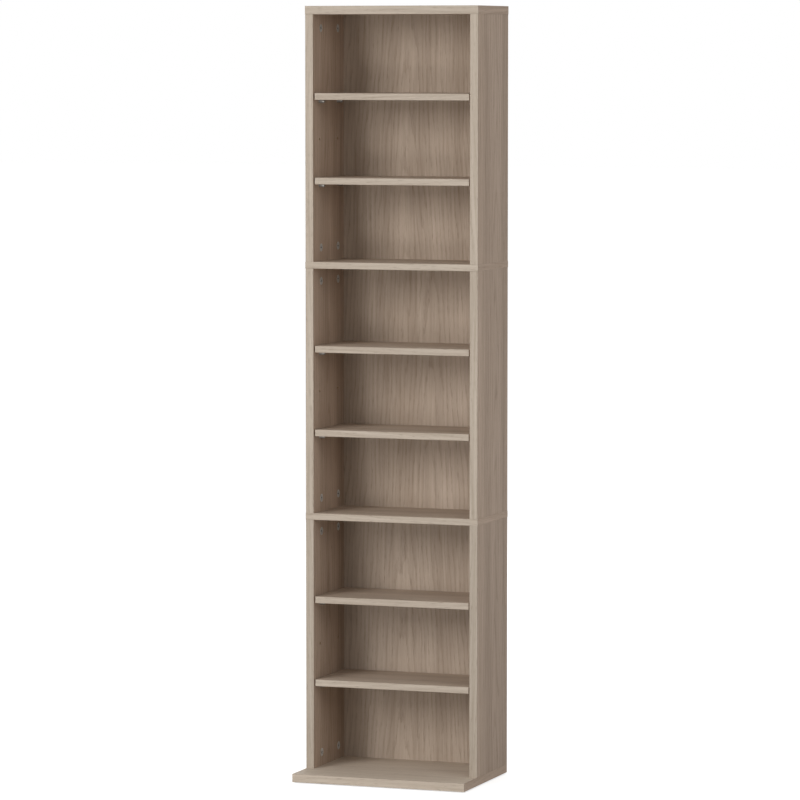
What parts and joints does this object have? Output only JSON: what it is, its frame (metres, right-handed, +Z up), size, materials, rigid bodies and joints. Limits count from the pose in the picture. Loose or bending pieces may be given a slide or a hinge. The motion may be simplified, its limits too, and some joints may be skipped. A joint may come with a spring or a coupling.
{
  "type": "disc storage tower",
  "caption": "Tall open-fronted media tower of stacked grey oak board segments on a base that reaches forward, with loose shelves on pins for disc cases.",
  "frame": {"origin": "on the floor, under the middle of the base board's footprint", "axes": "+X to the right along the front, +Y from front to back, +Z up"},
  "size_m": [0.326, 0.235, 1.3825],
  "materials": {
    "oak_board": "particle board faced with satin melamine foil in a grey oak grain",
    "oak_edge_band": "printed edge band in the same grey oak, rounded outer edges",
    "hardboard": "thin hardboard, oak foil in front and raw brown behind",
    "beech": "raw fluted beech",
    "zinc_casting": "dull grey zinc casting",
    "plated_steel": "bright zinc-plated steel",
    "nickel_plate": "nickel-plated steel",
    "glide_plastic": "off-white polyethylene with a steel nail"
  },
  "bodies": {
    "carcass": {"base_board": "oak_board", "base_board_bands": "oak_edge_band", "base_cam_bolts": "plated_steel", "base_dowels": "beech", "glides": "glide_plastic", "lower_back_panel": "hardboard", "lower_cams": "zinc_casting", "lower_connecting_board": "oak_board", "lower_connecting_board_bands": "oak_edge_band", "lower_connecting_dowels": "beech", "lower_double_bolts": "plated_steel", "lower_left_side": "oak_board", "lower_right_side": "oak_board", "lower_side_bands": "oak_edge_band", "middle_back_panel": "hardboard", "middle_cams": "zinc_casting", "middle_left_side": "oak_board", "middle_right_side": "oak_board", "middle_side_bands": "oak_edge_band", "shelf_1_pins": "nickel_plate", "shelf_2_pins": "nickel_plate", "shelf_3_pins": "nickel_plate", "shelf_4_pins": "nickel_plate", "shelf_5_pins": "nickel_plate", "shelf_6_pins": "nickel_plate", "top_board": "oak_board", "top_board_bands": "oak_edge_band", "top_cam_bolts": "plated_steel", "top_dowels": "beech", "upper_back_panel": "hardboard", "upper_cams": "zinc_casting", "upper_connecting_board": "oak_board", "upper_connecting_board_bands": "oak_edge_band", "upper_connecting_dowels": "beech", "upper_double_bolts": "plated_steel", "upper_left_side": "oak_board", "upper_right_side": "oak_board", "upper_side_bands": "oak_edge_band"},
    "shelf_1": {"shelf_1": "oak_board", "shelf_1_band": "oak_edge_band"},
    "shelf_2": {"shelf_2": "oak_board", "shelf_2_band": "oak_edge_band"},
    "shelf_3": {"shelf_3": "oak_board", "shelf_3_band": "oak_edge_band"},
    "shelf_4": {"shelf_4": "oak_board", "shelf_4_band": "oak_edge_band"},
    "shelf_5": {"shelf_5": "oak_board", "shelf_5_band": "oak_edge_band"},
    "shelf_6": {"shelf_6": "oak_board", "shelf_6_band": "oak_edge_band"}
  },
  "joints": [
    {"name": "shelf_1_slide", "type": "slide", "parent": "carcass", "child": "shelf_1", "axis": [0, -1, 0], "range_m": [0, 0.16]},
    {"name": "shelf_2_slide", "type": "slide", "parent": "carcass", "child": "shelf_2", "axis": [0, -1, 0], "range_m": [0, 0.16]},
    {"name": "shelf_3_slide", "type": "slide", "parent": "carcass", "child": "shelf_3", "axis": [0, -1, 0], "range_m": [0, 0.16]},
    {"name": "shelf_4_slide", "type": "slide", "parent": "carcass", "child": "shelf_4", "axis": [0, -1, 0], "range_m": [0, 0.16]},
    {"name": "shelf_5_slide", "type": "slide", "parent": "carcass", "child": "shelf_5", "axis": [0, -1, 0], "range_m": [0, 0.16]},
    {"name": "shelf_6_slide", "type": "slide", "parent": "carcass", "child": "shelf_6", "axis": [0, -1, 0], "range_m": [0, 0.16]}
  ]
}
